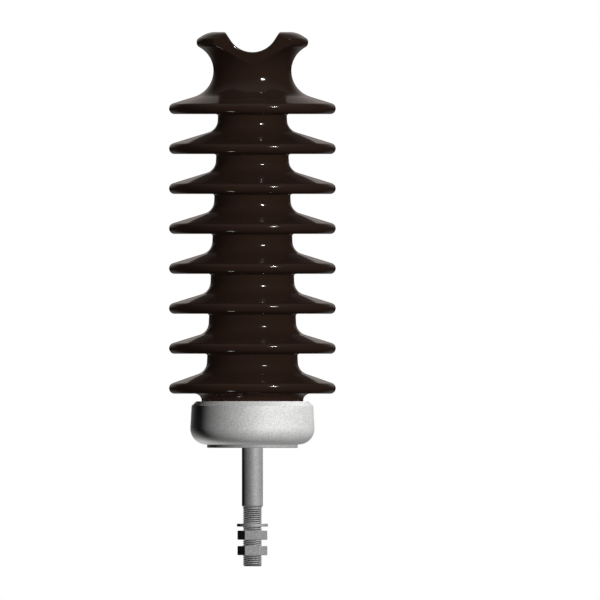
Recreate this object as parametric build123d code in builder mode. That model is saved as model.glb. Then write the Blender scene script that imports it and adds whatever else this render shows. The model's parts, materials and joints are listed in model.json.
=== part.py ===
"""Line post insulator: a one-piece glazed porcelain post with eight sheds, cemented into a cast metal cup
that carries a threaded mounting stud.

Millimetres. The origin is the centre of the cup's seat face, +Z runs up the post, and the conductor
groove in the head runs along Y.
"""

import os
from math import asin, atan2, cos, degrees, pi, radians, sin, sqrt, tan

from build123d import *

os.makedirs("parts", exist_ok=True)

# Cast cup
cup_height = 43.7
cup_rim_diameter = 113.6
cup_foot_diameter = 118.2
cup_foot_edge_radius = 15.0
cup_rim_chamfer = 4.3
cup_wall = 5.5
cup_floor = 14.5
seat_diameter = 85.0
seat_height = 3.2
seat_edge_chamfer = 0.6
key_groove_radius = 1.8
key_groove_count = 2

# Cement joint
cement_gap = 3.7
cement_recess = 1.0
cushion_thickness = 2.0

# Porcelain foot and core
foot_edge_chamfer = 2.0
foot_showing = 7.1
foot_fillet = 6.5
core_radius_low = 43.7
core_radius_high = 32.0

# Sheds
shed_count = 8
shed_pitch = 37.43
shed_diameter = 156.2
shed_lip_radius = 5.15
shed_slope = 17.2
lowest_shed_slope = 19.6
shed_top_fillet = 12.0
shed_under_fillet = 2.0

# Head
neck_diameter = 73.1
tie_groove_radius = 25.3
crown_above_tie_groove = 36.4
head_diameter = 104.6
ear_slope_width = 10.9
crown_slope = 32.0
crown_edge_radius = 23.0
ear_top_radius = 4.5
ear_under_radius = 4.5
ear_flat_offset = 0.8
wire_groove_depth = 18.8
wire_groove_radius = 24.4
wire_groove_flank = 32.6
head_edge_radius = 2.2

# Stud and the hardware on it
shank_diameter = 19.8
shank_length = 55.1
shank_end_chamfer = 0.9
thread_diameter = 17.8
thread_end_chamfer = 1.2
stud_setback = 1.0
thread_clearance = 0.1
free_thread = 15.9
washer_diameter = 29.1
washer_thickness = 2.8
washer_clearance = 0.4
washer_to_nut = 3.6
nut_across_flats = 24.4
nut_height = 8.75
nut_sides = 6
nut_face_diameter = 26.4
nut_chamfer_angle = 30.0
nut_bore_chamfer = 0.8
nut_to_nut = 5.7
stud_tail = 10.35

# A fillet or chamfer takes at most this share of the wall or ledge beside it
largest_fillet_share = 0.98

# Places that follow from the sizes above
cavity_radius = cup_rim_diameter / 2 - cup_wall
foot_radius = cavity_radius - cement_gap
foot_end = cup_floor + cushion_thickness
cement_top = cup_height - cement_recess
cushion_radius = foot_radius - foot_edge_chamfer
key_pitch = (cup_height - cup_floor) / (key_groove_count + 1)
key_groove_places = [(cavity_radius, cup_floor + (i + 1) * key_pitch) for i in range(key_groove_count)]
stud_hole_radius = shank_diameter / 2 + thread_clearance

# The cup's foot is rounded as far as the ledge round its seat allows.
foot_ledge = (cup_foot_diameter - seat_diameter) / 2
foot_corner = pi / 2 - atan2((cup_foot_diameter - cup_rim_diameter) / 2, cup_height - seat_height)
cup_foot_fillet = min(cup_foot_edge_radius, largest_fillet_share * foot_ledge * tan(foot_corner / 2))

lip_centre_radius = shed_diameter / 2 - shed_lip_radius
lowest_rim = cup_height + foot_showing + shed_lip_radius
rims = [lowest_rim + shed * shed_pitch for shed in range(shed_count)]
slopes = [lowest_shed_slope] + [shed_slope] * (shed_count - 1)

neck_radius = neck_diameter / 2
head_radius = head_diameter / 2
tie_centre_radius = neck_radius + tie_groove_radius
# The tie groove runs tangent into the top shed's slope.
tie_centre_height = (
    rims[-1]
    + (tie_groove_radius + shed_lip_radius) / cos(radians(shed_slope))
    + (lip_centre_radius - tie_centre_radius) * tan(radians(shed_slope))
)
crown = tie_centre_height + crown_above_tie_groove

# The ears' upright edge runs from the tie groove up to the crown's slope, and both its ends are rounded as
# far as it is high.
crown_shoulder_radius = head_radius - ear_slope_width
ear_top_height = crown - ear_slope_width * tan(radians(crown_slope))
ear_under_height = tie_centre_height + sqrt(tie_groove_radius**2 - (tie_centre_radius - head_radius) ** 2)
ear_under_angle = asin((ear_under_height - tie_centre_height) / tie_groove_radius)
ear_edge_used = ear_top_radius * tan(radians(90 - crown_slope) / 2) + ear_under_radius * tan(ear_under_angle / 2)
ear_edge_share = min(1, largest_fillet_share * (ear_top_height - ear_under_height) / ear_edge_used)

washer_top = -shank_length - free_thread
clamp_nut_top = washer_top - washer_thickness - washer_to_nut
lock_nut_top = clamp_nut_top - nut_height - nut_to_nut
stud_end = lock_nut_top - nut_height - stud_tail

# How near two heights, or two parts of a unit vector, must be to count as the same
same_height = 0.01
same_direction = 0.001


def corners_at(section, height):
    """A section's corners at one height, from the axis outwards."""
    level = section.vertices().filter_by_position(Axis.Y, height - same_height, height + same_height)
    return level.sort_by(Axis.X)


# Cast cup: outer skirt, floor with the tapped hole, raised seat, and keying grooves in the bore.
with BuildPart() as base_cup:
    with BuildSketch(Plane.XZ) as cup_section:
        with BuildLine():
            Polyline(
                (stud_hole_radius, 0),
                (seat_diameter / 2, 0),
                (seat_diameter / 2, seat_height),
                (cup_foot_diameter / 2, seat_height),
                (cup_rim_diameter / 2, cup_height),
                (cavity_radius, cup_height),
                (cavity_radius, cup_floor),
                (stud_hole_radius, cup_floor),
                close=True,
            )
        make_face()
        fillet(corners_at(cup_section, seat_height)[-1], radius=cup_foot_fillet)
        chamfer(corners_at(cup_section, cup_height)[-1], length=cup_rim_chamfer)
        chamfer(corners_at(cup_section, 0)[-1], length=seat_edge_chamfer)
        with Locations(key_groove_places):
            Circle(key_groove_radius, mode=Mode.SUBTRACT)
    revolve(axis=Axis.Z)
base_cup.part.label = "base_cup"
export_step(base_cup.part, "parts/base_cup.step")

# Cushion between the porcelain foot's end and the cup's floor.
with BuildPart() as cushion_disc:
    with BuildSketch(Plane.XY.offset(cup_floor)):
        Circle(cushion_radius)
    extrude(amount=cushion_thickness)
cushion_disc.part.label = "cushion_disc"
export_step(cushion_disc.part, "parts/cushion_disc.step")

# Porcelain: one solid of revolution, then the conductor groove and the two flats cut in the head.
with BuildPart() as porcelain_body:
    with BuildSketch(Plane.XZ) as half_section:
        arc_start = 270 - shed_slope
        arc_end = 180 - degrees(ear_under_angle)
        with BuildLine():
            tie_arc = CenterArc(
                (tie_centre_radius, tie_centre_height),
                tie_groove_radius,
                arc_start,
                arc_end - arc_start,
            )
            Polyline(
                tie_arc @ 1,
                (head_radius, ear_top_height),
                (crown_shoulder_radius, crown),
                (0, crown),
                (0, foot_end),
                (foot_radius, foot_end),
                (foot_radius, rims[0]),
                (core_radius_low, rims[0]),
                (core_radius_high, rims[-1]),
                tie_arc @ 0,
            )
        make_face()
        fillet(corners_at(half_section, crown)[-1], radius=crown_edge_radius)
        fillet(corners_at(half_section, ear_top_height)[-1], radius=ear_edge_share * ear_top_radius)
        fillet(corners_at(half_section, ear_under_height)[-1], radius=ear_edge_share * ear_under_radius)
        chamfer(corners_at(half_section, foot_end)[-1], length=foot_edge_chamfer)

        for rim, angle in zip(rims, slopes):
            with BuildLine():
                lip = CenterArc((lip_centre_radius, rim), shed_lip_radius, -90, 180 - angle)
                lip_top = lip @ 1
                Polyline(
                    lip_top,
                    (0, lip_top.Y + lip_top.X * tan(radians(angle))),
                    (0, rim - shed_lip_radius),
                    lip @ 0,
                )
            make_face()

        # Each shed's slope runs into the core in a wide fillet, and its underside in a small one.
        fillet(
            [
                half_section.vertices()
                .filter_by_position(Axis.Y, lower + shed_lip_radius, upper - shed_lip_radius - same_height)
                .sort_by(Axis.X)[0]
                for lower, upper in zip(rims, rims[1:])
            ],
            radius=shed_top_fillet,
        )
        fillet(
            [corners_at(half_section, rim - shed_lip_radius)[0] for rim in rims[1:]],
            radius=shed_under_fillet,
        )
        fillet(corners_at(half_section, rims[0] - shed_lip_radius)[0], radius=foot_fillet)
    revolve(axis=Axis.Z)

    # Conductor groove: a V with a round bottom, right through along Y.
    flank = radians(wire_groove_flank)
    groove_bottom = crown - wire_groove_depth
    groove_apex = groove_bottom + wire_groove_radius - wire_groove_radius / sin(flank)
    groove_top = crown + wire_groove_depth
    with BuildSketch(Plane.XZ) as wire_groove:
        with BuildLine():
            Polyline(
                (-(groove_top - groove_apex) * tan(flank), groove_top),
                (0, groove_apex),
                ((groove_top - groove_apex) * tan(flank), groove_top),
                close=True,
            )
        make_face()
        fillet(wire_groove.vertices().sort_by(Axis.Y)[0], radius=wire_groove_radius)
    extrude(amount=head_diameter, both=True, mode=Mode.SUBTRACT)

    # Flats across the front and the back of both ears, just outside the neck.
    flat_distance = neck_radius + ear_flat_offset
    with BuildSketch(Plane.XY.offset(tie_centre_height)):
        with Locations((0, flat_distance + head_radius), (0, -flat_distance - head_radius)):
            Rectangle(2 * head_diameter, head_diameter)
    extrude(amount=groove_top - tie_centre_height, mode=Mode.SUBTRACT)

    # The cut edges are rounded: both flats all round, and the top of the groove's flanks.
    flat_edges = porcelain_body.faces().filter_by(Axis.Y).edges()
    planes = porcelain_body.faces().filter_by(GeomType.PLANE)
    flanks = planes.filter_by(lambda f: abs(f.normal_at().Z - sin(flank)) < same_direction)
    flank_tops = (flanks.edges() - flat_edges).sort_by(Axis.Z)[len(flanks) :]
    fillet(flat_edges + flank_tops, radius=head_edge_radius)
porcelain_body.part.label = "porcelain_body"
export_step(porcelain_body.part, "parts/porcelain_body.step")

# Cement cast round the foot: it fills the cup up to its recess, and takes the form of the foot's chamfer,
# the cushion's edge and the keying grooves.
with BuildPart() as cement_ring:
    with BuildSketch(Plane.XZ):
        with BuildLine():
            Polyline(
                (cushion_radius, cup_floor),
                (cavity_radius, cup_floor),
                (cavity_radius, cement_top),
                (foot_radius, cement_top),
                (foot_radius, foot_end + foot_edge_chamfer),
                (cushion_radius, foot_end),
                close=True,
            )
        make_face()
        with Locations(key_groove_places):
            Circle(key_groove_radius)
    revolve(axis=Axis.Z)
cement_ring.part.label = "cement_ring"
export_step(cement_ring.part, "parts/cement_ring.step")

# Stud: screwed into the cup's floor, plain shank, then the thread at its major diameter.
with BuildPart() as stud:
    with BuildSketch(Plane.XZ):
        with BuildLine():
            Polyline(
                (0, cup_floor - stud_setback),
                (shank_diameter / 2, cup_floor - stud_setback),
                (shank_diameter / 2, -shank_length),
                (thread_diameter / 2, -shank_length),
                (thread_diameter / 2, stud_end),
                (0, stud_end),
                close=True,
            )
        make_face()
    revolve(axis=Axis.Z)
    shank_step = abs(shank_diameter - thread_diameter) / 2
    shoulder = stud.edges().filter_by(GeomType.CIRCLE).group_by(Axis.Z)[1].sort_by(SortBy.RADIUS)[-1]
    tip = stud.edges().filter_by(GeomType.CIRCLE).group_by(Axis.Z)[0]
    chamfer(shoulder, length=min(shank_end_chamfer, largest_fillet_share * shank_step))
    chamfer(tip, length=thread_end_chamfer)
stud.part.label = "stud"
export_step(stud.part, "parts/stud.step")

# Flat washer
with BuildPart() as flat_washer:
    with BuildSketch(Plane.XY.offset(washer_top)):
        Circle(washer_diameter / 2)
        Circle(thread_diameter / 2 + washer_clearance, mode=Mode.SUBTRACT)
    extrude(amount=-washer_thickness)
flat_washer.part.label = "flat_washer"
export_step(flat_washer.part, "parts/flat_washer.step")

# The two hexagon nuts, alike but for their height on the stud.
for label, nut_top in (("clamp_nut", clamp_nut_top), ("lock_nut", lock_nut_top)):
    nut_bottom = nut_top - nut_height
    corner_radius = nut_across_flats / 2 / cos(radians(180 / nut_sides))
    face_radius = min(nut_face_diameter / 2, largest_fillet_share * corner_radius)
    corner_drop = (corner_radius - face_radius) * tan(radians(nut_chamfer_angle))
    with BuildPart() as nut:
        with BuildSketch(Plane.XY.offset(nut_top)):
            RegularPolygon(radius=nut_across_flats / 2, side_count=nut_sides, major_radius=False)
        extrude(amount=-nut_height)
        with BuildSketch(Plane.XZ):
            with BuildLine():
                Polyline(
                    (0, nut_top),
                    (face_radius, nut_top),
                    (corner_radius, nut_top - corner_drop),
                    (corner_radius, nut_bottom + corner_drop),
                    (face_radius, nut_bottom),
                    (0, nut_bottom),
                    close=True,
                )
            make_face()
        revolve(axis=Axis.Z, mode=Mode.INTERSECT)
        with BuildSketch(Plane.XY.offset(nut_top)):
            Circle(thread_diameter / 2 + thread_clearance)
        extrude(amount=-nut_height, mode=Mode.SUBTRACT)
        bore_edges = nut.faces().filter_by(GeomType.CYLINDER).edges().filter_by(GeomType.CIRCLE)
        chamfer(bore_edges, length=nut_bore_chamfer)
    nut.part.label = label
    export_step(nut.part, f"parts/{label}.step")
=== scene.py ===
"""A line post insulator on a pale floor: a post of brown glazed porcelain, cemented into a galvanised cup
that carries a threaded stud with its washer and two nuts.

Metres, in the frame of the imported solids: the origin is the centre of the cup's seat, +Z runs up the
post, and the conductor groove in the head runs along Y.
"""

import json
from math import atan2, ceil, cos, hypot, pi, radians, sin, sqrt, tan

import bpy
import numpy as np
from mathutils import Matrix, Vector


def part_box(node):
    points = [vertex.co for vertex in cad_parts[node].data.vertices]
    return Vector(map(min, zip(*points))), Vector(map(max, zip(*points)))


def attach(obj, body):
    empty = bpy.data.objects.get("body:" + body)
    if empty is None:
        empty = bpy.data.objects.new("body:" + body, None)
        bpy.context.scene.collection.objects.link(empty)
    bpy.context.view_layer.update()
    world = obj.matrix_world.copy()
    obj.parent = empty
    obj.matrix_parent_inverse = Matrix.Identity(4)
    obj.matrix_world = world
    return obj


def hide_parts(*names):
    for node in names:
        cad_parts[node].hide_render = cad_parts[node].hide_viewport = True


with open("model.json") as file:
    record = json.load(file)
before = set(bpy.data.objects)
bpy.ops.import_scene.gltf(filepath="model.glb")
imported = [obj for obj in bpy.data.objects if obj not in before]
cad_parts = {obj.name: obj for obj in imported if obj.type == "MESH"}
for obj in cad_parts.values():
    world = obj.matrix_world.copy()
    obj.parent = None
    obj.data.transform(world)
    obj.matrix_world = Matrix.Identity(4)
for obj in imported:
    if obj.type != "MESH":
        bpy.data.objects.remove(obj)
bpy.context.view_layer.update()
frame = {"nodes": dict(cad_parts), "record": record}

MM = 0.001

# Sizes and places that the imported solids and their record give
mounts = {mount["name"]: mount for mount in frame["record"]["mounts"]}
post_low, post_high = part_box("porcelain_body")
cup_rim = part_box("base_cup")[1].z
cement_low, cement_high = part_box("cement_ring")
stud_low, stud_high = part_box("stud")
washer_low, washer_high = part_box("flat_washer")

crown = post_high.z
foot_end = post_low.z
tie_height = mounts["tie_groove"]["pos_m"][2]
wire_height = mounts["conductor_groove"]["pos_m"][2]
wire_radius = mounts["conductor_groove"]["dims"]["r_mm"] * MM
cement_top = cement_high.z
shank_radius = stud_high.x
thread_radius = mounts["stud_end"]["dims"]["r_mm"] * MM
stud_end = stud_low.z

# Porcelain foot, core and sheds
foot_radius = 47.6 * MM
foot_edge = 2.0 * MM
foot_fillet = 6.5 * MM
core_radius_low = 43.7 * MM
core_radius_high = 32.0 * MM
shed_count = 8
shed_radius = post_high.x
shed_lip = 5.15 * MM
shed_pitch = 37.43 * MM
lowest_rim = 55.95 * MM
shed_slope = radians(17.2)
lowest_shed_slope = radians(19.6)
shed_top_fillet = 12.0 * MM
shed_under_fillet = 2.0 * MM

# Head
neck_radius = 36.55 * MM
tie_radius = 25.3 * MM
head_radius = 52.3 * MM
crown_shoulder = 41.4 * MM
crown_slope = radians(32.0)
crown_round = 23.0 * MM
ear_round = 4.5 * MM
wire_flank = radians(32.6)
flat_distance = 37.35 * MM
head_edge = 2.2 * MM

# Cup, cement and hardware
cup_rim_radius = 56.8 * MM
cup_foot_radius = 59.1 * MM
cup_foot_round = 15.0 * MM
cup_rim_chamfer = 4.3 * MM
cup_wall = 5.5 * MM
cup_floor = 14.5 * MM
cast_edge = 0.9 * MM
seat_radius = 42.5 * MM
seat_height = 3.2 * MM
seat_edge = 0.6 * MM
stud_hole_radius = 10.0 * MM
key_groove_radius = 1.8 * MM
key_groove_count = 2
shank_end = -55.1 * MM
shank_chamfer = 0.9 * MM
thread_pitch = 1.91 * MM
thread_depth = 1.03 * MM
thread_chamfer = 1.2 * MM
# How much of the pitch the flat crest takes
thread_crest = 0.25
washer_bore = 9.3 * MM
nut_flat = 12.2 * MM
nut_face = 13.2 * MM
nut_bore = 9.0 * MM
nut_bore_chamfer = 0.8 * MM
nut_chamfer = radians(30)
nut_side_round = 0.5 * MM
zinc_edge = 0.3 * MM

# How finely the surfaces are divided
arc_step = radians(9)
round_segments = 144
washer_segments = 96
stud_segments = 72
rows_per_thread_turn = 12
cement_hollow_points = 7
head_cell = 0.75 * MM


def linear(hex_colour):
    """The linear colour of an sRGB hex value."""
    shades = [int(hex_colour[i : i + 2], 16) / 255 for i in (1, 3, 5)]
    return [s / 12.92 if s <= 0.04045 else ((s + 0.055) / 1.055) ** 2.4 for s in shades] + [1]


# Shapes


def arc(centre, radius, start, end):
    """Points along an arc, from one angle to the other."""
    steps = max(2, ceil(abs(end - start) / arc_step))
    angles = np.linspace(start, end, steps + 1)
    return [(centre[0] + radius * cos(a), centre[1] + radius * sin(a)) for a in angles]


def rounded(corners, closed=False):
    """Points along an outline of corners (x, y, radius), each corner turned into its arc."""
    count = len(corners)
    points = []
    for i, (x, y, radius) in enumerate(corners):
        if radius == 0 or (not closed and i in (0, count - 1)):
            points.append((x, y))
            continue
        corner = np.array((x, y))
        legs = [np.array(corners[j % count][:2]) - corner for j in (i - 1, i + 1)]
        legs = [leg / np.linalg.norm(leg) for leg in legs]
        middle = (legs[0] + legs[1]) / np.linalg.norm(legs[0] + legs[1])
        half_sine = abs(legs[0][0] * middle[1] - legs[0][1] * middle[0])
        centre = corner + middle * radius / half_sine
        setback = radius * sqrt(1 - half_sine**2) / half_sine
        start, end = (corner + leg * setback - centre for leg in legs)
        first = atan2(start[1], start[0])
        turn = (atan2(end[1], end[0]) - first + pi) % (2 * pi) - pi
        points += arc(centre, radius, first, first + turn)
    return points


def around(outline, angles):
    """A grid of points, one row for each outline point, turned about Z through the angles."""
    radii, heights = np.array(outline).T
    rows = np.ones(len(angles))
    return np.stack(
        [np.outer(radii, np.cos(angles)), np.outer(radii, np.sin(angles)), np.outer(heights, rows)],
        axis=-1,
    )


def skin(grid, closed=False):
    """Vertices and quads of a grid whose columns go round, and whose rows close too if it is a ring."""
    rows, columns = grid.shape[:2]
    number = np.arange(rows * columns).reshape(rows, columns)
    if closed:
        number = np.vstack([number, number[:1]])
    here, right = number, np.roll(number, -1, axis=1)
    quads = np.stack([here[:-1], right[:-1], right[1:], here[1:]], axis=-1)
    return grid.reshape(-1, 3), quads.reshape(-1, 4).tolist()


def capped(vertices, faces, rings):
    """Adds a flat face inside each ring of vertex numbers."""
    return vertices, faces + [list(map(int, ring)) for ring in rings]


def face_normals(mesh):
    """Each vertex's normal, weighted by the area of its faces, so that broad faces stay flat."""
    corner_vertex = np.empty(len(mesh.loops), int)
    mesh.loops.foreach_get("vertex_index", corner_vertex)
    normal = np.empty(len(mesh.polygons) * 3)
    mesh.polygons.foreach_get("normal", normal)
    area, corners = np.empty(len(mesh.polygons)), np.empty(len(mesh.polygons), int)
    mesh.polygons.foreach_get("area", area)
    mesh.polygons.foreach_get("loop_total", corners)
    share = np.repeat(normal.reshape(-1, 3) * area[:, None], corners, axis=0)
    total = np.zeros((len(mesh.vertices), 3))
    np.add.at(total, corner_vertex, share)
    return total / np.linalg.norm(total, axis=1, keepdims=True)


def make_piece(name, shape, material, node, normals=None):
    """A finished piece of the insulator, which stands for one node of the solids."""
    mesh = bpy.data.meshes.new(name)
    mesh.from_pydata([tuple(v) for v in shape[0]], [], shape[1])
    mesh.validate()
    mesh.polygons.foreach_set("use_smooth", [True] * len(mesh.polygons))
    mesh.update()
    shading = face_normals(mesh)
    if normals is not None:
        shading[-len(normals) :] = normals
    mesh.normals_split_custom_set_from_vertices(shading)
    mesh.materials.append(material)
    piece = bpy.data.objects.new(name, mesh)
    bpy.context.scene.collection.objects.link(piece)
    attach(piece, "root")
    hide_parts(node)
    return piece


def full_turn(segments):
    """The angles of this many segments round the axis."""
    return np.linspace(0, 2 * pi, segments, endpoint=False)


# Porcelain


def post_outline():
    """The post's half section, from the edge of its foot up to the neck."""
    rims = [lowest_rim + shed * shed_pitch for shed in range(shed_count)]
    slopes = [lowest_shed_slope] + [shed_slope] * (shed_count - 1)
    lip_centre = shed_radius - shed_lip

    def core(height):
        share = (height - rims[0]) / (rims[-1] - rims[0])
        return core_radius_low + share * (core_radius_high - core_radius_low)

    corners = [(0, foot_end, 0), (foot_radius, foot_end, foot_edge)]
    for shed, (rim, slope) in enumerate(zip(rims, slopes)):
        under = rim - shed_lip
        lip_top = (lip_centre + shed_lip * sin(slope), rim + shed_lip * cos(slope))
        # The slope meets the underside's level outside the lip, and the lip is the round of that corner.
        reach = lip_top[0] + (lip_top[1] - under) / tan(slope)
        under_radius = foot_radius if shed == 0 else core(under)
        corners.append((under_radius, under, foot_fillet if shed == 0 else shed_under_fillet))
        corners.append((reach, under, shed_lip))
        if shed < shed_count - 1:
            # Where the slope's line crosses the core's
            taper = (core_radius_high - core_radius_low) / (rims[-1] - rims[0])
            rise = lip_top[1] + lip_top[0] * tan(slope)
            height = (rise - (core_radius_low - taper * rims[0]) * tan(slope)) / (1 + taper * tan(slope))
            corners.append((core(height), height, shed_top_fillet))
        else:
            corners.append((lip_top[0] - shed_lip, lip_top[1] + shed_lip * tan(slope), 0))
    tie_centre = (neck_radius + tie_radius, tie_height)
    # The two end points only set a direction. The foot is closed flat, and the tie groove's arc follows.
    return rounded(corners)[1:-1] + arc(tie_centre, tie_radius, 1.5 * pi - shed_slope, pi)


def from_axis(points):
    """Each point's distance from the Z axis, and its direction away from it."""
    radius = np.maximum(np.hypot(points[:, 0], points[:, 1]), 1e-9)
    return radius, np.stack([points[:, 0] / radius, points[:, 1] / radius, np.zeros(len(points))], axis=1)


UP = np.array([0.0, 0.0, 1.0])


def meet(first, second, radius):
    """Two solids' common part with a rolled edge: the distance outside it, and that distance's slope."""
    (a, slope_a), (b, slope_b) = first, second
    # Parallel sides have no edge between them to roll, so their cosine stays just short of one.
    cosine = np.clip((slope_a * slope_b).sum(axis=1), -0.999, 0.9999)
    deep_a, deep_b = a + radius, b + radius
    edge = (deep_a > deep_b * cosine) & (deep_b > deep_a * cosine)
    share_a = (deep_a - deep_b * cosine) / (1 - cosine**2)
    share_b = (deep_b - deep_a * cosine) / (1 - cosine**2)
    towards = share_a[:, None] * slope_a + share_b[:, None] * slope_b
    length = np.maximum(np.linalg.norm(towards, axis=1), 1e-12)
    distance = np.where(edge, length - radius, np.maximum(a, b))
    slope = np.where((a > b)[:, None], slope_a, slope_b)
    return distance, np.where(edge[:, None], towards / length[:, None], slope)


def head_distance(points):
    """How far each point is outside the head, and the direction in which that grows."""
    radius, out = from_axis(points)
    height = points[:, 2]
    top = height - crown, np.tile(UP, (len(points), 1))
    shoulder = (
        (radius - crown_shoulder) * sin(crown_slope) + (height - crown) * cos(crown_slope),
        out * sin(crown_slope) + UP * cos(crown_slope),
    )
    rim = radius - head_radius, out
    from_tie = np.stack([radius - neck_radius - tie_radius, height - tie_height], axis=1)
    tie_length = np.maximum(np.linalg.norm(from_tie, axis=1), 1e-9)
    tie = (
        tie_radius - tie_length,
        -(out * from_tie[:, :1] + UP * from_tie[:, 1:]) / tie_length[:, None],
    )
    flats = np.abs(points[:, 1]) - flat_distance, np.sign(points[:, 1])[:, None] * np.array([0.0, 1.0, 0.0])

    turned = meet(meet(meet(top, shoulder, crown_round), rim, ear_round), tie, ear_round)
    return meet(meet(turned, wire_groove(points), head_edge), flats, head_edge)


def wire_groove(points):
    """The conductor groove as a solid that lies outside it: straight flanks on a round bottom."""
    side, below = np.abs(points[:, 0]), points[:, 2] - wire_height
    sign = np.sign(points[:, 0])
    zero = np.zeros(len(points))
    # The groove's flanks run tangent into the round bottom.
    flank = wire_radius + below * sin(wire_flank) - side * cos(wire_flank)
    flank_slope = np.stack([-sign * cos(wire_flank), zero, zero + sin(wire_flank)], axis=1)
    length = np.maximum(np.hypot(side, below), 1e-9)
    bottom = wire_radius - length
    bottom_slope = np.stack([-points[:, 0] / length, zero, -below / length], axis=1)
    in_bottom = -below * cos(wire_flank) > side * sin(wire_flank)
    return np.where(in_bottom, bottom, flank), np.where(in_bottom[:, None], bottom_slope, flank_slope)


def surface_net(distance, low, high, cell):
    """Vertices and quads of the surface where the distance is zero, left open where it meets the box."""
    counts = [ceil((end - start) / cell) + 1 for start, end in zip(low, high)]
    lines = [start + cell * np.arange(count) for start, count in zip(low, counts)]
    lattice = np.stack(np.meshgrid(*lines, indexing="ij"), axis=-1).reshape(-1, 3)
    inside = (distance(lattice)[0] < 0).reshape(counts)

    corners = sum(
        inside[i : i + counts[0] - 1, j : j + counts[1] - 1, k : k + counts[2] - 1].astype(int)
        for i in (0, 1)
        for j in (0, 1)
        for k in (0, 1)
    )
    crossed = (corners > 0) & (corners < 8)
    number = np.full(crossed.shape, -1)
    number[crossed] = np.arange(crossed.sum())
    vertices = np.array(low) + (np.argwhere(crossed) + 0.5) * cell

    quads = []
    for axis in range(3):
        # Each lattice edge along this axis that crosses the surface has a quad of its four cells.
        others = [a for a in range(3) if a != axis]
        lower = [slice(None)] * 3
        upper = [slice(None)] * 3
        lower[axis], upper[axis] = slice(0, -1), slice(1, None)
        changes = inside[tuple(lower)].astype(int) - inside[tuple(upper)].astype(int)
        places = np.argwhere(changes != 0)
        room = np.array(crossed.shape)
        places = places[np.all((places[:, others] > 0) & (places[:, others] < room[others]), axis=1)]
        steps = np.zeros((4, 3), int)
        steps[:, others[0]] = (-1, 0, 0, -1)
        steps[:, others[1]] = (-1, -1, 0, 0)
        cells = places[:, None, :] + steps[None]
        found = number[cells[..., 0], cells[..., 1], cells[..., 2]]
        outward = changes[tuple(places.T)] > 0
        # Round the Y axis, the four cells are listed the other way about.
        if axis == 1:
            outward = ~outward
        quads.append(np.where(outward[:, None], found, found[:, ::-1]))
    return vertices, np.vstack(quads)


def drawn_onto(vertices, distance, pulls=3):
    """The vertices after a few pulls onto the surface, each along the distance's slope."""
    for _ in range(pulls):
        value, slope = distance(vertices)
        vertices = vertices - value[:, None] * slope
    return vertices


def settle(vertices, quads, distance, rounds=6):
    """Draws the vertices onto the surface and spreads them evenly. The open edge's aren't spread."""
    edges = np.vstack([quads[:, [i, (i + 1) % 4]] for i in range(4)])
    pairs, uses = np.unique(np.sort(edges, axis=1), axis=0, return_counts=True)
    open_edge = np.unique(pairs[uses == 1])
    free = np.ones(len(vertices), bool)
    free[open_edge] = False
    both = np.vstack([pairs, pairs[:, ::-1]])
    neighbours = np.bincount(both[:, 0], minlength=len(vertices))
    for _ in range(rounds):
        vertices = drawn_onto(vertices, distance)
        total = np.zeros_like(vertices)
        np.add.at(total, both[:, 0], vertices[both[:, 1]])
        middle = total / neighbours[:, None]
        vertices = np.where(free[:, None], (vertices + middle) / 2, vertices)
    return drawn_onto(vertices, distance), open_edge


def joined(ring, ring_angles, edge, edge_angles):
    """Triangles between two rings of vertex numbers, each in order of its angles."""
    faces, i, j = [], 0, 0
    one_turn = 2 * pi
    while i < len(ring) or j < len(edge):
        next_ring = ring_angles[(i + 1) % len(ring)] + one_turn * ((i + 1) // len(ring))
        next_edge = edge_angles[(j + 1) % len(edge)] + one_turn * ((j + 1) // len(edge))
        here, there = ring[i % len(ring)], edge[j % len(edge)]
        if j >= len(edge) or (i < len(ring) and next_ring <= next_edge):
            faces.append([here, ring[(i + 1) % len(ring)], there])
            i += 1
        else:
            faces.append([here, edge[(j + 1) % len(edge)], there])
            j += 1
    return faces


def porcelain_post(material):
    """The post: sheds and core turned from the outline, and the head as one smooth skin above the neck."""
    angles = full_turn(round_segments)
    grid = around(post_outline(), angles)
    body, faces = capped(*skin(grid), [np.arange(round_segments)[::-1]])
    low = (-head_radius - head_cell, -flat_distance - head_cell, tie_height)
    high = (head_radius + head_cell, flat_distance + head_cell, crown + 2 * head_cell)
    head, quads = surface_net(head_distance, low, high, head_cell)
    head, open_edge = settle(head, quads, head_distance)

    first = len(body)
    ring = first - round_segments + np.arange(round_segments)
    edge_angles = np.arctan2(head[open_edge, 1], head[open_edge, 0]) % (2 * pi)
    order = np.argsort(edge_angles)
    collar = joined(ring, angles, first + open_edge[order], edge_angles[order])
    vertices = np.vstack([body, head])
    faces = faces + [[int(v) for v in face] for face in collar] + (quads + first).tolist()
    normals = head_distance(head)[1]
    return make_piece(
        "porcelain_post", (vertices, faces), material, "porcelain_body", normals
    )


# Cup, cement and hardware


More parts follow.
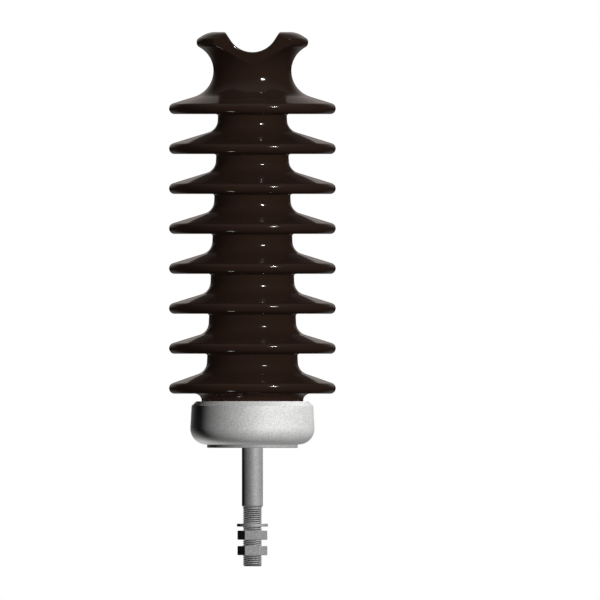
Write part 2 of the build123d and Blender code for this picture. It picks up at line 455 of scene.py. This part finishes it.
def cast_cup(material):
    """The cup: skirt, seat and bore in one turned outline, with softly cast edges."""
    bore = cup_rim_radius - cup_wall
    lean = (cup_foot_radius - cup_rim_radius) / (cup_rim - seat_height)
    wall = hypot(lean, 1)
    groove_pitch = (cup_rim - cup_floor) / (key_groove_count + 1)
    corners = [
        (stud_hole_radius, 0, seat_edge),
        (seat_radius, 0, seat_edge),
        (seat_radius, seat_height, seat_edge),
        (cup_foot_radius, seat_height, cup_foot_round),
        (
            cup_rim_radius + cup_rim_chamfer * lean / wall,
            cup_rim - cup_rim_chamfer / wall,
            cast_edge,
        ),
        (cup_rim_radius - cup_rim_chamfer, cup_rim, seat_edge),
        (bore, cup_rim, seat_edge),
    ]
    inner_floor = [(bore, cup_floor, 0), (stud_hole_radius, cup_floor, 0)]
    outline = rounded(corners + inner_floor, closed=True)
    # The key grooves come into the outline between the rim and the inner floor, from the top down.
    grooves = []
    for groove in range(key_groove_count, 0, -1):
        centre = (bore, cup_floor + groove * groove_pitch)
        grooves += arc(centre, key_groove_radius, pi / 2, -pi / 2)
    outline = outline[:-2] + grooves + outline[-2:]
    shape = skin(around(outline, full_turn(round_segments)), closed=True)
    return make_piece("cast_cup", shape, material, "base_cup")


def cement_fill(material):
    """The cement in the gap, struck off a little hollow and left rough by the trowel."""
    bore = cup_rim_radius - cup_wall
    hollow = 0.5 * MM
    top = [
        (bore + (foot_radius - bore) * share, cement_top - hollow * sin(pi * share))
        for share in np.linspace(0, 1, cement_hollow_points)
    ]
    outline = [
        (foot_radius - foot_edge, cement_low.z),
        (bore, cement_low.z),
        *top,
        (foot_radius, foot_end + foot_edge),
        (foot_radius - foot_edge, foot_end),
    ]
    shape = skin(around(outline, full_turn(round_segments)), closed=True)
    return make_piece("cement_fill", shape, material, "cement_ring")


def threaded_stud(material):
    """The stud: plain shank, then a right-hand thread that runs out at the shank and starts at a
    chamfer."""
    shank = [
        (0, stud_high.z, 0),
        (shank_radius, stud_high.z, zinc_edge),
        (shank_radius, shank_end + shank_chamfer, zinc_edge),
        (shank_radius - shank_chamfer, shank_end, 0),
    ]
    top_rows = rounded(shank)[1:]
    angles = full_turn(stud_segments)
    heights = np.arange(shank_end, stud_end, -thread_pitch / rows_per_thread_turn)[1:]
    heights = np.append(heights, stud_end)
    phase = (heights[:, None] / thread_pitch - angles[None, :] / (2 * pi)) % 1
    from_crest = np.abs(2 * phase - 1)
    down_flank = np.clip((from_crest - thread_crest) / (1 - thread_crest), 0, 1)
    # A smooth step from crest to root, as zinc leaves it
    groove = thread_depth * down_flank**2 * (3 - 2 * down_flank)
    run_out = np.clip((shank_end - heights) / thread_pitch, 0, 1)[:, None]
    chamfer = thread_radius - np.clip(thread_chamfer - (heights - stud_end), 0, None)[:, None]
    radii = np.minimum(thread_radius - groove * run_out, chamfer)
    levels = np.repeat(heights[:, None], stud_segments, axis=1)
    thread = np.stack([radii * np.cos(angles), radii * np.sin(angles), levels], axis=-1)
    grid = np.vstack([around(top_rows, angles), thread])[::-1]
    vertices, faces = skin(grid)
    last = len(vertices)
    ends = [np.arange(stud_segments)[::-1], np.arange(last - stud_segments, last)]
    shape = capped(vertices, faces, ends)
    return make_piece("threaded_stud", shape, material, "stud")


def plain_washer(material):
    """The washer, with the rounded edges that punching and zinc leave."""
    corners = [
        (washer_bore, washer_low.z, zinc_edge),
        (washer_high.x, washer_low.z, zinc_edge),
        (washer_high.x, washer_high.z, zinc_edge),
        (washer_bore, washer_high.z, zinc_edge),
    ]
    shape = skin(around(rounded(corners, closed=True), full_turn(washer_segments)), closed=True)
    return make_piece("plain_washer", shape, material, "flat_washer")


def hex_radius(angles):
    """How far a hexagon with rounded corners reaches at each angle. A corner points along +X."""
    sextant = pi / 3
    off_corner = np.abs((angles + sextant / 2) % sextant - sextant / 2)
    corner = (nut_flat - nut_side_round) / cos(sextant / 2)
    tangent = atan2(nut_side_round * sin(sextant / 2), corner + nut_side_round * cos(sextant / 2))
    near = np.minimum(off_corner, tangent)
    rounded_part = corner * np.cos(near) + np.sqrt(nut_side_round**2 - (corner * np.sin(near)) ** 2)
    return np.where(off_corner < tangent, rounded_part, nut_flat / np.cos(sextant / 2 - off_corner))


def hex_nut(name, node, material):
    """A nut: six flats, a turned chamfer at both faces, and edges softened by zinc."""
    low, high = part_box(node)
    broken_edge = 0.35 * MM
    sextant = pi / 3
    # Degrees from a corner, close together where its round bends, and mirrored about the flat's middle
    near_corner = np.radians([0, 0.35, 0.7, 1.05, 1.6, 3, 6, 10, 14, 18, 22, 26])
    one_side = np.concatenate([near_corner, [sextant / 2], sextant - near_corner[:0:-1]])
    angles = np.concatenate([one_side + side * pi / 3 for side in range(6)])
    columns = []
    for reach, angle in zip(hex_radius(angles), angles):
        face = min(nut_face, reach - broken_edge)
        drop = (reach - face) * tan(nut_chamfer)
        half = [
            (nut_bore, high.z - nut_bore_chamfer, zinc_edge),
            (nut_bore + nut_bore_chamfer, high.z, zinc_edge),
            (face, high.z, zinc_edge),
            (reach, high.z - drop, zinc_edge),
        ]
        mirrored = [(r, low.z + high.z - z, rounding) for r, z, rounding in reversed(half)]
        radii, heights = np.array(rounded(half + mirrored, closed=True)).T
        columns.append(np.stack([radii * cos(angle), radii * sin(angle), heights], axis=1))
    vertices, faces = skin(np.stack(columns, axis=1)[::-1], closed=True)
    return make_piece(name, (vertices, faces), material, node)


# Materials


def add_node(tree, kind, inputs=None, **settings):
    """Adds a node with its settings. An input given as a socket is linked, and any other value is set."""
    made = tree.nodes.new(kind)
    for key, value in settings.items():
        setattr(made, key, value)
    for key, value in (inputs or {}).items():
        if isinstance(value, bpy.types.NodeSocket):
            tree.links.new(value, made.inputs[key])
        else:
            made.inputs[key].default_value = value
    return made


def new_material(name):
    """An empty material with its shader, and the place on the object in metres."""
    material = bpy.data.materials.new(name)
    material.use_nodes = True
    tree = material.node_tree
    tree.nodes.clear()
    shader = add_node(tree, "ShaderNodeBsdfPrincipled")
    output = add_node(tree, "ShaderNodeOutputMaterial")
    tree.links.new(shader.outputs["BSDF"], output.inputs["Surface"])
    place = add_node(tree, "ShaderNodeTexCoord").outputs["Object"]
    return material, tree, shader, place


def per_metre(size):
    """The scale at which a pattern repeats about once in this size."""
    return 1 / size


def off_axis(tree, place):
    """How far each point lies from the post's axis."""
    split = add_node(tree, "ShaderNodeSeparateXYZ", {"Vector": place})
    flat = add_node(tree, "ShaderNodeCombineXYZ", {"X": split.outputs["X"], "Y": split.outputs["Y"]})
    length = add_node(tree, "ShaderNodeVectorMath", {0: flat.outputs["Vector"]}, operation="LENGTH")
    return length.outputs["Value"]


def brown_glazed_porcelain():
    """Wet-process porcelain under a dark brown glaze, fired once. The glaze is glass: it gives hard small
    highlights and bright edges where it is seen at a slant, over a body colour that hardly shows."""
    material, tree, shader, place = new_material("brown_glazed_porcelain")
    shader.inputs["IOR"].default_value = 1.5

    # The glaze is a little uneven from dipping, with iron specks, and thins to a redder brown at the lips.
    cloud = add_node(
        tree,
        "ShaderNodeTexNoise",
        {"Vector": place, "Scale": per_metre(45 * MM), "Detail": 3.0, "Roughness": 0.5},
    )
    speck = add_node(
        tree,
        "ShaderNodeTexNoise",
        {"Vector": place, "Scale": per_metre(1.4 * MM), "Detail": 2.0, "Roughness": 0.6},
    )
    glaze = add_node(
        tree,
        "ShaderNodeMix",
        {"Factor": cloud.outputs["Fac"], "A": linear("#3a2a22"), "B": linear("#433129")},
        data_type="RGBA",
    )
    speck_band = add_node(
        tree,
        "ShaderNodeMapRange",
        {"Value": speck.outputs["Fac"], "From Min": 0.6, "From Max": 0.75, "To Max": 0.5},
    )
    specked = add_node(
        tree,
        "ShaderNodeMix",
        {"Factor": speck_band.outputs["Result"], "A": glaze.outputs["Result"], "B": linear("#1d120d")},
        data_type="RGBA",
    )
    lip = add_node(
        tree,
        "ShaderNodeMapRange",
        {
            "Value": off_axis(tree, place),
            "From Min": shed_radius - 1.5 * shed_lip,
            "From Max": shed_radius,
            "To Max": 0.08,
        },
    )
    coloured = add_node(
        tree,
        "ShaderNodeMix",
        {"Factor": lip.outputs["Result"], "A": specked.outputs["Result"], "B": linear("#52372a")},
        data_type="RGBA",
    )
    tree.links.new(coloured.outputs["Result"], shader.inputs["Base Color"])

    sheen = add_node(
        tree,
        "ShaderNodeMapRange",
        {"Value": cloud.outputs["Fac"], "To Min": 0.085, "To Max": 0.105},
    )
    tree.links.new(sheen.outputs["Result"], shader.inputs["Roughness"])

    # The glaze's surface rolls gently, as molten glass does.
    roll = add_node(
        tree,
        "ShaderNodeTexNoise",
        {"Vector": place, "Scale": per_metre(9 * MM), "Detail": 1.0, "Roughness": 0.4},
    )
    bump = add_node(
        tree, "ShaderNodeBump", {"Height": roll.outputs["Fac"], "Strength": 0.02, "Distance": 0.25 * MM}
    )
    tree.links.new(bump.outputs["Normal"], shader.inputs["Normal"])
    return material


def galvanised(name, dark, bright, grit, roughness, metal, depth, painted_shade_band):
    """Hot-dip zinc on iron or steel: a pale grey metal without shine, dulled by fine grit in the coat.
    Within a band of distance from the axis its colour is darkened to a share of its brightness: painted
    shade."""
    # The painted shade keeps this share of the colour inside the inner radius, and the colour is whole
    # outside the outer one.
    share, inner, outer = painted_shade_band
    material, tree, shader, place = new_material(name)
    shader.inputs["Metallic"].default_value = metal
    grains = add_node(
        tree,
        "ShaderNodeTexNoise",
        {"Vector": place, "Scale": per_metre(grit), "Detail": 3.0, "Roughness": 0.65},
    )
    clouds = add_node(
        tree,
        "ShaderNodeTexNoise",
        {"Vector": place, "Scale": per_metre(16 * MM), "Detail": 4.0, "Roughness": 0.55},
    )
    mottle = add_node(
        tree,
        "ShaderNodeMix",
        {"Factor": 0.15, "A": grains.outputs["Fac"], "B": clouds.outputs["Fac"]},
        data_type="FLOAT",
    )
    even = add_node(
        tree,
        "ShaderNodeMapRange",
        {"Value": mottle.outputs["Result"], "From Min": 0.35, "From Max": 0.65},
    )
    colour = add_node(
        tree,
        "ShaderNodeMix",
        {"Factor": even.outputs["Result"], "A": linear(dark), "B": linear(bright)},
        data_type="RGBA",
    )
    # Painted shade: near the axis the colour is darkened to the given share.
    painted_shade_map = add_node(
        tree,
        "ShaderNodeMapRange",
        {"Value": off_axis(tree, place), "From Min": inner, "From Max": outer, "To Min": share},
    )
    with_painted_shade = add_node(
        tree,
        "ShaderNodeMix",
        {"Factor": 1.0, "A": colour.outputs["Result"], "B": painted_shade_map.outputs["Result"]},
        data_type="RGBA",
        blend_type="MULTIPLY",
    )
    tree.links.new(with_painted_shade.outputs["Result"], shader.inputs["Base Color"])
    dull = add_node(
        tree,
        "ShaderNodeMapRange",
        {"Value": clouds.outputs["Fac"], "To Min": roughness - 0.04, "To Max": roughness + 0.04},
    )
    tree.links.new(dull.outputs["Result"], shader.inputs["Roughness"])
    bump = add_node(
        tree, "ShaderNodeBump", {"Height": grains.outputs["Fac"], "Strength": 0.6, "Distance": depth}
    )
    tree.links.new(bump.outputs["Normal"], shader.inputs["Normal"])
    return material


def portland_cement():
    """Neat Portland cement with fine sand, set in the gap: grey, dry and rough."""
    material, tree, shader, place = new_material("portland_cement")
    shader.inputs["Roughness"].default_value = 0.9
    sand = add_node(
        tree,
        "ShaderNodeTexNoise",
        {"Vector": place, "Scale": per_metre(0.9 * MM), "Detail": 4.0, "Roughness": 0.7},
    )
    colour = add_node(
        tree,
        "ShaderNodeMix",
        {"Factor": sand.outputs["Fac"], "A": linear("#8d897f"), "B": linear("#bdb8ad")},
        data_type="RGBA",
    )
    tree.links.new(colour.outputs["Result"], shader.inputs["Base Color"])
    bump = add_node(
        tree, "ShaderNodeBump", {"Height": sand.outputs["Fac"], "Strength": 0.8, "Distance": 0.4 * MM}
    )
    tree.links.new(bump.outputs["Normal"], shader.inputs["Normal"])
    return material


def bitumen_felt():
    """Felt soaked in bitumen, under the porcelain foot: black-brown fibres without gloss."""
    material, tree, shader, place = new_material("bitumen_felt")
    shader.inputs["Roughness"].default_value = 0.85
    fibres = add_node(
        tree,
        "ShaderNodeTexNoise",
        {"Vector": place, "Scale": per_metre(0.7 * MM), "Detail": 5.0, "Roughness": 0.75},
    )
    colour = add_node(
        tree,
        "ShaderNodeMix",
        {"Factor": fibres.outputs["Fac"], "A": linear("#1c1714"), "B": linear("#3b332c")},
        data_type="RGBA",
    )
    tree.links.new(colour.outputs["Result"], shader.inputs["Base Color"])
    return material


# Studio


def studio_floor():
    """A wide plain floor under the stud's end."""
    half = 4.0
    gap_below_stud = 0.2 * MM
    mesh = bpy.data.meshes.new("studio_floor")
    corners = [(-half, -half), (half, -half), (half, half), (-half, half)]
    mesh.from_pydata([(x, y, stud_end - gap_below_stud) for x, y in corners], [], [(0, 1, 2, 3)])
    material, _, shader, _ = new_material("matt_white_paint")
    shader.inputs["Base Color"].default_value = linear("#e6e6e4")
    shader.inputs["Roughness"].default_value = 0.8
    mesh.materials.append(material)
    floor = bpy.data.objects.new("studio_floor", mesh)
    bpy.context.scene.collection.objects.link(floor)
    # The low light shines up through the floor, and the glaze doesn't mirror it.
    floor.visible_shadow = False
    floor.visible_glossy = False
    floor.visible_diffuse = False
    return floor


def far_lamp(name, azimuth, elevation, strength, width, pieces, soft=True, glints=True, barred=False):
    """A lamp far off, seen as a disc of this width, that casts no shadow and reaches these pieces alone.

    Azimuth 0 is at the front and 90 at +X, and all angles are in degrees. It lights what is matt if it is
    soft, and shows in gloss if it glints. If it is barred, it dims in gloss where the mirrored ray meets
    another surface first.
    """
    data = bpy.data.lights.new(name, "SUN")
    data.energy = strength
    data.angle = radians(width)
    data.use_shadow = False
    data.cycles.use_multiple_importance_sampling = barred
    lamp = bpy.data.objects.new(name, data)
    bpy.context.scene.collection.objects.link(lamp)
    lamp.visible_diffuse = soft
    lamp.visible_glossy = glints
    receivers = bpy.data.collections.new(name + "_receivers")
    for piece in pieces:
        receivers.objects.link(piece)
    lamp.light_linking.receiver_collection = receivers
    a, e = radians(azimuth), radians(elevation)
    away = Vector((sin(a) * cos(e), -cos(a) * cos(e), sin(e)))
    lamp.rotation_mode = "QUATERNION"
    lamp.rotation_quaternion = away.to_track_quat("Z", "Y")


def studio_world():
    """Plain white all round for the eye. What the glaze mirrors is a pale wall behind, grey overhead and
    dim elsewhere."""
    world = bpy.data.worlds.new("studio_world")
    world.use_nodes = True
    tree = world.node_tree
    tree.nodes.clear()
    direction = add_node(tree, "ShaderNodeTexCoord").outputs["Generated"]
    split = add_node(tree, "ShaderNodeSeparateXYZ", {"Vector": direction})
    behind = add_node(
        tree,
        "ShaderNodeMapRange",
        {"Value": split.outputs["Y"], "From Min": 0.35, "From Max": 1.0},
    )
    narrowed = add_node(tree, "ShaderNodeMath", {0: behind.outputs["Result"], 1: 4.0}, operation="POWER")
    raised = add_node(
        tree,
        "ShaderNodeMapRange",
        {"Value": split.outputs["Z"], "From Min": 0.0, "From Max": 0.25},
    )
    lowered = add_node(
        tree,
        "ShaderNodeMapRange",
        {"Value": split.outputs["Z"], "From Min": -0.08, "From Max": -0.35, "To Max": 0.6},
    )
    off_horizon = add_node(
        tree,
        "ShaderNodeMath",
        {0: raised.outputs["Result"], 1: lowered.outputs["Result"]},
        operation="ADD",
    )
    glow = add_node(
        tree,
        "ShaderNodeMath",
        {0: narrowed.outputs["Value"], 1: off_horizon.outputs["Value"]},
        operation="MULTIPLY",
    )
    overhead = add_node(
        tree,
        "ShaderNodeMapRange",
        {"Value": split.outputs["Z"], "From Min": 0.6, "From Max": 1.0},
    )
    sky = add_node(
        tree,
        "ShaderNodeMix",
        {"Factor": overhead.outputs["Result"], "A": linear("#101010"), "B": linear("#707070")},
        data_type="RGBA",
    )
    shade = add_node(
        tree,
        "ShaderNodeMix",
        {"Factor": glow.outputs["Value"], "A": sky.outputs["Result"], "B": linear("#c4bab5")},
        data_type="RGBA",
    )
    seen = add_node(tree, "ShaderNodeLightPath").outputs["Is Camera Ray"]
    colour = add_node(
        tree,
        "ShaderNodeMix",
        {"Factor": seen, "A": shade.outputs["Result"], "B": linear("#ffffff")},
        data_type="RGBA",
    )
    background = add_node(tree, "ShaderNodeBackground", {"Color": colour.outputs["Result"]})
    output = add_node(tree, "ShaderNodeOutputWorld")
    tree.links.new(background.outputs["Background"], output.inputs["Surface"])
    bpy.context.scene.world = world


def studio_camera():
    """A level camera in front, with the post left of the middle as the photograph has it."""
    frame_width = 562.2 * MM
    aside, height = 44.6 * MM, 138.6 * MM
    distance = 2.0
    data = bpy.data.cameras.new("studio_camera")
    data.type = "ORTHO"
    data.ortho_scale = frame_width
    camera = bpy.data.objects.new("studio_camera", data)
    bpy.context.scene.collection.objects.link(camera)
    camera.location = (aside, -distance, height)
    camera.rotation_euler = (pi / 2, 0, 0)
    bpy.context.scene.camera = camera


glaze = brown_glazed_porcelain()
# Painted shade: the cup is darkened inside the seat's radius, chiefly the seat's side under the cup's
# overhang, and the roots of the thread are darkened nearly to black.
painted_seat_shade = (0.55, seat_radius + 0.2 * MM, seat_radius + 1.0 * MM)
# Painted shade in the roots of the thread.
painted_root_shade = (0.01, thread_radius - thread_depth, thread_radius - 0.1 * thread_depth)
casting = galvanised(
    "galvanised_casting",
    "#d2d2d0",
    "#ffffff",
    grit=1.1 * MM,
    roughness=0.72,
    metal=0.35,
    depth=0.06 * MM,
    painted_shade_band=painted_seat_shade,
)
steel = galvanised(
    "galvanised_steel",
    "#929292",
    "#c4c4c4",
    grit=0.9 * MM,
    roughness=0.7,
    metal=0.5,
    depth=0.03 * MM,
    painted_shade_band=painted_root_shade,
)
cement = portland_cement()
felt = bitumen_felt()

post = porcelain_post(glaze)
cup = cast_cup(casting)
metal = [
    cup,
    threaded_stud(steel),
    plain_washer(steel),
    hex_nut("hex_nut_upper", "clamp_nut", steel),
    hex_nut("hex_nut_lower", "lock_nut", steel),
]
grout = cement_fill(cement)
cushion = frame["nodes"]["cushion_disc"]
cushion.data.materials.clear()
cushion.data.materials.append(felt)
fittings = metal + [grout, cushion]
# The foot's glaze stays dark down to the cement, so it mirrors neither the cup nor the cement.
cup.visible_glossy = False
grout.visible_glossy = False

floor = studio_floor()
studio_world()
# Each lamp's name, azimuth, elevation, strength, width and pieces
far_lamp("metal_key", 36, 10, 2.75, 10.0, fittings)
far_lamp("metal_side", 118, 45, 1.35, 20.0, fittings)
far_lamp("metal_rear", -165, 0, 1.15, 20.0, fittings, glints=False)
far_lamp("metal_rim", -160, -32, 1.3, 20.0, fittings)
far_lamp("porcelain_key", 38, 23, 1.4, 20.0, [post], glints=False)
far_lamp("porcelain_fill", -55, 0, 0.38, 20.0, [post], glints=False)
far_lamp("porcelain_rear", 160, 25, 0.6, 20.0, [post], glints=False)
far_lamp("bounce_light", -47, -85, 0.15, 20.0, [post], glints=False)
far_lamp("floor_light", 0, 90, 3.8, 20.0, [floor], glints=False)
far_lamp("key_glint", 33.5, 35, 0.25, 10.0, [post], soft=False, barred=True)
for number, azimuth in enumerate((31.5, 33.5, 35.5)):
    far_lamp(f"key_spark_{number}", azimuth, 35, 0.25, 2.0, [post], soft=False)
far_lamp("low_glint", -47, -61, 0.11, 7.0, [post], soft=False, barred=True)
studio_camera()
bpy.context.scene.view_settings.view_transform = "Standard"
